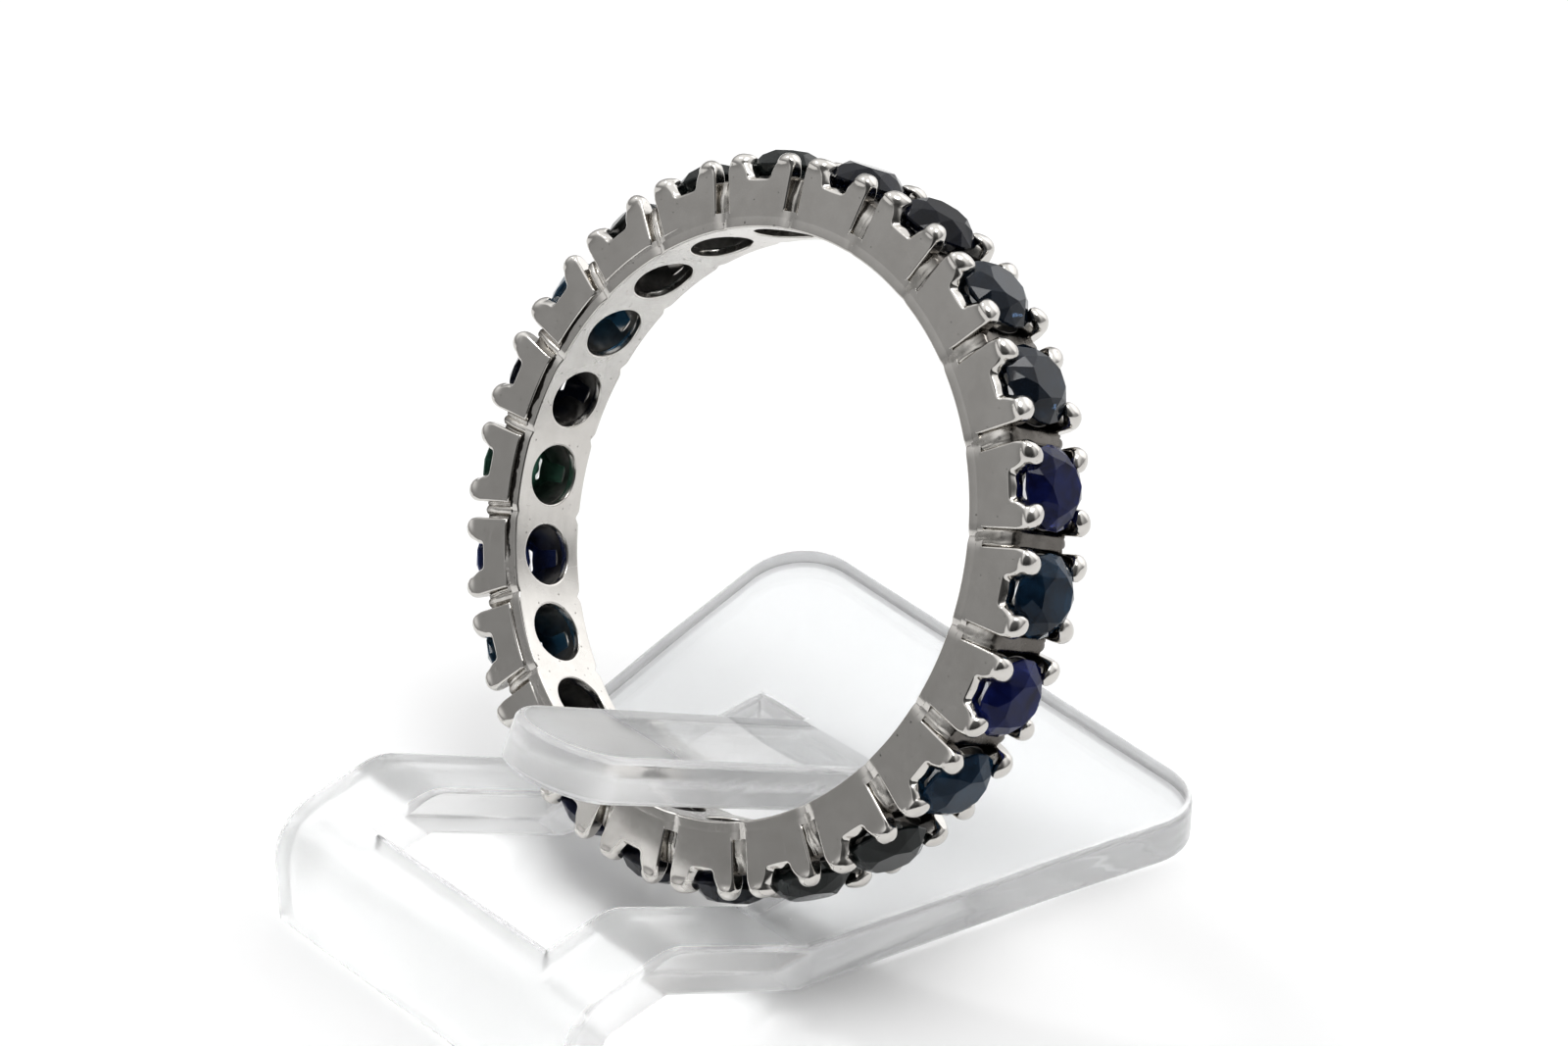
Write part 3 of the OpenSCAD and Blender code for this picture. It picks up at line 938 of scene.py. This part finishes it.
def path_point(corners, bend_r, along):
    """Place and direction on a line with round corners, at distances along it from the first corner,
    and the line's length. The line is sampled as straight runs between tangent points, and an arc of
    25 points at each inner corner."""
    corners = np.asarray(corners, float)
    places = [corners[:1]]
    for before, here, after in zip(corners[:-2], corners[1:-1], corners[2:]):
        back = (before - here) / np.linalg.norm(before - here)
        on = (after - here) / np.linalg.norm(after - here)
        half_turn = (np.pi - np.arccos(np.clip(back @ on, -1, 1))) / 2
        reach = bend_r * np.tan(half_turn)
        middle = here + (back + on) / np.linalg.norm(back + on) * bend_r / np.cos(half_turn)
        first = here + back * reach - middle
        last = here + on * reach - middle
        share = np.linspace(0, 1, 25)[:, None]
        whole = 2 * half_turn
        arc = (first * np.sin((1 - share) * whole) + last * np.sin(share * whole)) / np.sin(whole)
        places.append(middle + arc)
    places = np.concatenate([*places, corners[-1:]])
    run = np.concatenate([[0], np.cumsum(np.linalg.norm(np.diff(places, axis=0), axis=-1))])

    def at(distance):
        """Where the line is at some distances."""
        return np.interp(distance, run, places[:, 0]), np.interp(distance, run, places[:, 1])

    y, z = at(along)
    step = 0.02
    ahead_y, ahead_z = at(np.minimum(along + step, run[-1]))
    behind_y, behind_z = at(np.maximum(along - step, 0))
    dy, dz = ahead_y - behind_y, ahead_z - behind_z
    size = np.maximum(np.hypot(dy, dz), 1e-12)
    return y, z, dy / size, dz / size, run[-1]


def offset_corner(corner, first, second, distance):
    """Corner of the line that runs at a distance inside two faces with the given outward
    directions."""
    first, second = np.asarray(first), np.asarray(second)
    return np.asarray(corner) - distance * (first + second) / (1 + first @ second)


def stand_lines():
    """The side view's two lines (y, z) in the middle of the sheet, both from behind the rear edge:
    one along the plate, down the arms' slope, over the bridge and down the front wall, and one that
    leaves the plate at the rear of the window for the tongue."""
    mid = SHEET_T / 2
    up_plate = [0.0, 1.0]
    up_arm = [np.sin(LEAN), np.cos(LEAN)]
    up_bridge = [-np.sin(BRIDGE_FALL), np.cos(BRIDGE_FALL)]
    out_wall = [-1.0, 0.0]
    fold_top = [FOLD_Y, SHEET_T + (ARM_Y - FOLD_Y) * np.tan(LEAN)]
    nose_top = [FRONT_Y, fold_top[1] - (FOLD_Y - FRONT_Y) * np.tan(BRIDGE_FALL)]
    start = [LINE_START, mid]
    arm_line = [start, offset_corner([ARM_Y, SHEET_T], up_plate, up_arm, mid),
                offset_corner(fold_top, up_arm, up_bridge, mid),
                offset_corner(nose_top, up_bridge, out_wall, mid), [FRONT_Y + mid, 0.0]]
    root = offset_corner([TONGUE_Y, SHEET_T], up_plate, up_arm, mid)
    far = [TONGUE_Y - 20 * np.cos(LEAN), SHEET_T + 20 * np.sin(LEAN)] - mid * np.array(up_arm)
    return arm_line, [start, root, far]


def cells(block):
    """Faces between the neighbours in a block of point numbers."""
    corners = (block[:-1, :-1], block[:-1, 1:], block[1:, 1:], block[1:, :-1])
    return np.stack(corners, axis=-1).reshape(-1, 4)


def sheet_pattern(arm_line):
    """The sheet's flat pattern, a little inside its outline, as points (x, distance along the side
    view's line): a grid over the plate, arms and front without the window's cells, and a second grid
    for the tongue. The rows are closer together in the bends, and the columns are evenly spread in
    each arm, gap and tongue. Gives the points, which of them are on the tongue, the cells, and the
    numbers of the points round the outline and round the window."""
    # places along the line every hundredth of a millimetre, to find where the marked ones lie
    run = np.linspace(0, 40, 4001)
    line_y, _, _, _, length = path_point(arm_line, BEND_R, run)
    marked = np.array([ARM_Y, FOLD_Y, SLOT_Y, TONGUE_Y])
    crease, fold, slot, tongue_at = np.interp(-marked, -line_y, run)
    nose_z = arm_line[3][1]
    side_cols, gap_cols, tongue_cols = 7, 5, 9

    # rows: the rear corners' arcs, the rest of the plate, and from the window's rear to the foot
    turn = np.linspace(0, np.pi / 2, 14)
    inner_r = CORNER_R - CUT_R
    back = REAR_Y - CORNER_R + inner_r * np.cos(turn)
    plate_y = np.concatenate([back, np.linspace(back[-1], TONGUE_Y + CUT_R, 13)[1:]])
    root_end = tongue_at + 1.2
    knots = [tongue_at, root_end, crease - 0.6, crease + 0.6, fold - 0.8, slot + CUT_R]
    window_s = steps(knots, [7, 8, 12, 8, 22])[1:]
    front_s = steps([slot + CUT_R, length - nose_z + BEND_R, length - CUT_R], [24, 8])[1:]
    s = np.concatenate([LINE_START - plate_y, window_s, front_s])
    y = np.maximum(LINE_START - s, ARM_Y)
    half = FRONT_W / 2 + SIDE_TAPER * (y - ARM_Y) - CUT_R
    half[:len(turn)] -= inner_r * (1 - np.sin(turn))
    plate_rows = len(plate_y)
    window_rows = plate_rows + len(window_s)

    # columns: from each side's outline to the window, and across the window and the tongue
    window_half, tongue_half = WINDOW_W / 2 + CUT_R, TONGUE_W / 2 - CUT_R
    flank = window_half + (half[:, None] - window_half) * np.linspace(1, 0, side_cols)[:-1]
    middle = steps([-window_half, -tongue_half, tongue_half, window_half],
                   [gap_cols, tongue_cols, gap_cols])
    x = np.concatenate([-flank, middle + 0 * half[:, None], flank[:, ::-1]], axis=1)
    lift = np.clip((y - TONGUE_Y) / (REAR_Y - TONGUE_Y), 0, 1)
    grid = np.stack([x, s[:, None] + REAR_SKEW * x * lift[:, None]], axis=-1)
    n_rows, n_cols = x.shape
    left_window = side_cols - 1
    right_window = n_cols - side_cols
    left_tongue = left_window + gap_cols - 1
    right_tongue = right_window - gap_cols + 1

    # the tongue's rows, from the last row of the plate to the round tip
    sweep = np.linspace(0, np.pi / 2, 10)
    round_s = tongue_at + TONGUE_L - TONGUE_W / 2 + tongue_half * np.sin(sweep)
    tongue_s = steps([tongue_at - CUT_R, root_end, round_s[0]], [8, 14])[1:]
    tongue_x = np.concatenate([tongue_half + 0 * tongue_s, tongue_half * np.cos(sweep[1:])])
    tongue_x = np.maximum(tongue_x, 0.05)[:, None] * np.linspace(-1, 1, tongue_cols)
    tongue_s = np.concatenate([tongue_s, round_s[1:]])[:, None]
    tongue = np.stack([tongue_x, tongue_s + 0 * tongue_x], axis=-1)

    index = np.arange(n_rows * n_cols).reshape(n_rows, n_cols)
    own_index = n_rows * n_cols + np.arange(tongue_x.size).reshape(tongue_x.shape)
    last_plate, last_window = index[plate_rows - 1], index[window_rows - 1]
    tongue_index = np.concatenate([last_plate[None, left_tongue:right_tongue + 1], own_index])
    caps = np.concatenate([cells(index[:plate_rows]),
                           cells(index[plate_rows - 1:window_rows, :left_window + 1]),
                           cells(index[plate_rows - 1:window_rows, right_window:]),
                           cells(index[window_rows - 1:]), cells(tongue_index)])
    outer = np.concatenate([index[0, :], index[1:, -1], index[-1, -2::-1], index[-2:0:-1, 0]])
    hole = np.concatenate([last_plate[left_window:left_tongue], tongue_index[:, 0],
                           tongue_index[-1, 1:], tongue_index[-2::-1, -1],
                           last_plate[right_tongue + 1:right_window + 1],
                           index[plate_rows:window_rows, right_window],
                           last_window[right_window - 1:left_window - 1:-1],
                           index[window_rows - 2:plate_rows - 1:-1, left_window]])
    flat = np.concatenate([grid.reshape(-1, 2), tongue.reshape(-1, 2)])
    return flat, np.arange(len(flat)) >= n_rows * n_cols, caps, outer, hole


def outward(places, way):
    """Direction away from the sheet in its pattern, from the two neighbours along the outline; way
    is 1 round the sheet and -1 round a hole in it. It is longer at corners, so that the outline's
    sides move out evenly."""
    ahead = np.roll(places, -1, axis=0) - places
    behind = places - np.roll(places, 1, axis=0)
    ahead = ahead / np.linalg.norm(ahead, axis=-1, keepdims=True)
    behind = behind / np.linalg.norm(behind, axis=-1, keepdims=True)
    along = ahead + behind
    along = along / np.linalg.norm(along, axis=-1, keepdims=True)
    x, s = places.T
    turned = np.sum(x * np.roll(s, -1) - s * np.roll(x, -1))
    normal = way * np.sign(turned) * np.stack([along[:, 1], -along[:, 0]], axis=-1)
    return normal / np.clip(np.sum(ahead * along, axis=-1), 0.6, 1)[:, None]


def stand():
    """The clear sheet: its pattern twice, half the thickness above and below the middle, and the cut
    edge, two rounded corners with a flat between them, carried round the outline and the window.
    Each point is then bent: its distance is laid along the side view's line with round corners, and
    its height goes across that line. Gives the shape, and which faces are on the cut edge."""
    mid = SHEET_T / 2
    arm_line, tongue_line = stand_lines()
    flat, on_tongue, caps, outer, hole = sheet_pattern(arm_line)

    def bent(places, height, tongue):
        """Lays the pattern's points along their line, at one height over it."""
        x, s = places.T
        on_arm, on_own = (path_point(line, BEND_R, s)[:4] for line in (arm_line, tongue_line))
        y, z, dy, dz = (np.where(tongue, own, arm) for arm, own in zip(on_arm, on_own))
        return np.stack([x, y + dz * height, z - dy * height], axis=-1)

    points = [bent(flat, mid, on_tongue), bent(flat, -mid, on_tongue)]
    faces = [caps, caps[:, ::-1] + len(flat)]
    start = 2 * len(flat)
    turn = np.linspace(0, np.pi / 2, 6)
    grow = CUT_R * np.concatenate([np.sin(turn), np.cos(turn)])
    height = np.concatenate([mid - CUT_R + CUT_R * np.cos(turn), CUT_R - mid - CUT_R * np.sin(turn)])
    for loop, way in ((outer, 1), (hole, -1)):
        normal = outward(flat[loop], way)
        points += [bent(flat[loop] + normal * far, high, on_tongue[loop])
                   for far, high in zip(grow, height)]
        faces.append(grid_faces(len(grow), len(loop), around=True) + start)
        start += len(grow) * len(loop)
    faces = np.concatenate(faces)
    return (np.concatenate(points) + STAND_AT, faces), np.arange(len(faces)) >= 2 * len(caps)


# The table, the light and the view


def table_top():
    """The plain pale table top: a wide disc, a hair under the stand."""
    turn = np.linspace(0, 2 * np.pi, 97)[:-1]
    radius = np.array([0.0, 60.0, 200.0, 700.0])[:, None]
    x, y = radius * np.cos(turn), radius * np.sin(turn)
    points = np.stack([x, y, 0 * x + TABLE_Z], axis=-1)
    mesh = closed_mesh("table_top", points, grid_faces(len(radius), len(turn), around=True))
    if mesh.polygons[0].normal.z < 0:
        mesh.flip_normals()
    made, tree, shader = material("pale_table")
    cloud = use_group(tree, SMUDGES, object_mm(tree), Scale=0.02)
    fill(tree, shader, Roughness=0.8, Specular_IOR_Level=0.1,
         Base_Color=blend(tree, cloud, (0.93, 0.93, 0.93, 1.0), (0.915, 0.915, 0.915, 1.0)))
    mesh.materials.append(made)
    piece = bpy.data.objects.new("table_top", mesh)
    bpy.context.scene.collection.objects.link(piece)


def studio():
    """A soft white room. Metal sees it bright overhead and in one patch behind the ring, and dark
    low down and toward the camera. Rays that have passed through a clear thing see it half way to
    plain white, and the camera itself sees plain white."""
    world = bpy.data.worlds.new("studio")
    bpy.context.scene.world = world
    world.use_nodes = True
    tree = world.node_tree
    tree.nodes.clear()
    way = node(tree, "TexCoord").outputs["Generated"]

    def facing(toward):
        """The cosine between where a ray goes and a direction."""
        dot = node(tree, "VectorMath", {"operation": "DOT_PRODUCT"}, in0=way, in1=toward)
        return dot.outputs["Value"]

    overhead = ramp(tree, node(tree, "SeparateXYZ", Vector=way).outputs[2], 0.08, 0.80, soft=True)
    wall = ramp(tree, overhead, 0.0, 1.0, 0.34, 1.03)
    in_front = ramp(tree, facing((0.20, -0.948, 0.25)), 0.10, 0.72, soft=True)
    dark_card = ramp(tree, facing((0.66, -0.58, 0.478)), 0.52, 0.86, 1.0, 0.15, soft=True)
    rear_patch = ramp(tree, facing((0.02, 0.964, 0.265)), 0.80, 0.96, 0.0, 0.9, soft=True)
    level = times(tree, wall, minus(tree, 1.0, times(tree, in_front, 0.15)))
    level = plus(tree, times(tree, level, dark_card), rear_patch)
    path = node(tree, "LightPath")
    through = times(tree, path.outputs["Is Transmission Ray"], 0.5)
    level = plus(tree, times(tree, level, minus(tree, 1.0, through)), through)
    room = node(tree, "Background", Color=(1.0, 1.0, 1.0, 1.0), Strength=level).outputs[0]
    plain = node(tree, "Background", Color=(1.0, 1.0, 1.0, 1.0), Strength=1.1).outputs[0]
    both = node(tree, "MixShader", in0=path.outputs["Is Camera Ray"], in1=room, in2=plain)
    out = tree.nodes.new("ShaderNodeOutputWorld")
    tree.links.new(both.outputs[0], out.inputs["Surface"])


def softbox(name, at, size, power):
    """A square soft lamp that looks at the ring; its place and size in millimetres, its power in
    watts."""
    data = bpy.data.lights.new(name, "AREA")
    data.shape = "SQUARE"
    data.size = size * MM
    data.energy = power
    lamp = bpy.data.objects.new(name, data)
    bpy.context.scene.collection.objects.link(lamp)
    at = np.array(at, float)
    x, y, z = np.array(LAMP_AIM, float) - at
    lamp.location = tuple(at * MM)
    lamp.rotation_euler = (np.arctan2(np.hypot(x, y), -z), 0.0, np.arctan2(y, x) - np.pi / 2)


def camera():
    """The photograph's view, by its angles round from the front and above the table."""
    data = bpy.data.cameras.new("camera")
    data.sensor_width = 36.0
    data.lens = VIEW_LENS
    data.clip_start = 0.005
    data.clip_end = 10.0
    made = bpy.data.objects.new("camera", data)
    bpy.context.scene.collection.objects.link(made)
    made.location = VIEW_AT
    made.rotation_euler = (np.radians(90 - VIEW_UP), 0.0, np.radians(VIEW_ROUND))
    bpy.context.scene.camera = made


def dress_mount(name, shape, finish, marks=None):
    """One piece of the metal mount, from a shape in the ring's own frame."""
    points, faces = shape
    make_piece(name, (in_ring(points), faces), [finish], "ring_mount", marks=marks)


# The scene
camera()
studio()
softbox("key", at=(60, 35, 300), size=120, power=0.20)
softbox("small_key", at=(-125, -5, 217), size=26, power=0.05)
bpy.context.scene.view_settings.view_transform = "Standard"
bpy.context.scene.view_settings.look = "Medium High Contrast"
# light crosses the clear sheet many times before it leaves by an edge
bpy.context.scene.cycles.glossy_bounces = 20
bpy.context.scene.cycles.transmission_bounces = 20
bpy.context.scene.cycles.max_bounces = 24
table_top()

rng = np.random.default_rng(22)
face_metal = white_metal("white_metal_faces", pit_share=0.4)
# the band carries the painted black shade on its near rim beside the open joint
band_metal = white_metal("white_metal_band", smooth=0.18, scratch_share=0.45, pit_share=0.8,
                         grain=(0.4, 0.4, 7.0), pit_scale=3.2, gap=True)
bar_metal = white_metal("white_metal_bars", (0.66, 0.64, 0.61, 1.0), (0.34, 0.325, 0.30, 1.0),
                        scratch_share=0.6, grain=(2.0, 2.0, 2.0), uneven=0.2, patchy=0.7, darker_high=0.85)
# painted shade: the bores' metal is darker than the rest for the shade inside them, and its darkest
# patches are dirt
bore_metal_shaded = white_metal("dull_metal_bores", (0.34, 0.33, 0.315, 1.0), (0.10, 0.095, 0.09, 1.0),
                         smooth=0.25, scratch_share=0.4, grain=(1.5, 1.5, 1.5), uneven=0.3, patchy=0.9)
dress_mount("inner_band", inner_band(), band_metal)
dress_mount("claw_boxes", boxes(rng), face_metal)
dress_mount("cross_bars", cross_bars(rng), bar_metal)
dress_mount("window_bores", box_floors(), bore_metal_shaded)
joint = joined([seam(rng, 1), seam(rng, -1)])
joint_x, joint_y, joint_w = joint[0].T
# how open the joint is at each point; the seam's finish paints black shade where it is open
openness = seam_depth(np.arctan2(-joint_x, joint_y)) * (joint_w > 0)
dress_mount("solder_seam", joint, seam_metal(), marks=openness)

# each hue's dark and pale colour, and its bending of light
HUES = {
    "black_blue": ((0.0015, 0.0025, 0.006), (0.009, 0.014, 0.034), 1.38),
    "navy": ((0.002, 0.003, 0.020), (0.010, 0.018, 0.080), 1.34),
    "royal": ((0.006, 0.007, 0.046), (0.020, 0.036, 0.21), 1.30),
    "teal": ((0.004, 0.016, 0.036), (0.024, 0.082, 0.16), 1.32),
    "lagoon": ((0.018, 0.06, 0.11), (0.04, 0.15, 0.26), 1.5),
    "steel": ((0.015, 0.024, 0.080), (0.040, 0.065, 0.22), 1.5),
    "slate": ((0.007, 0.011, 0.018), (0.016, 0.030, 0.054), 1.45),
    "green": ((0.030, 0.09, 0.065), (0.090, 0.23, 0.17), 1.5),
    "charcoal": ((0.010, 0.014, 0.014), (0.034, 0.043, 0.042), 1.38),
}
HUE_OF_STONE = [
    "charcoal", "charcoal", "charcoal", "lagoon", "black_blue", "green", "steel", "lagoon",
    "black_blue", "navy", "black_blue", "black_blue", "charcoal", "charcoal", "teal", "royal",
    "teal", "royal", "slate", "slate", "black_blue", "black_blue",
]
stone_glass = {hue: sapphire("sapphire_" + hue, *values) for hue, values in HUES.items()}
for j, hue in enumerate(HUE_OF_STONE, start=1):
    points, faces = stone(rng, j)
    make_piece(f"cut_stone_{j:02d}", (in_ring(points), faces), [stone_glass[hue]],
               f"stone_{j:02d}", smooth=False)

sheet, on_cut_edge = stand()
make_piece("clear_stand", sheet, [clear_sheet(), cut_edge()], "stand", which=on_cut_edge)
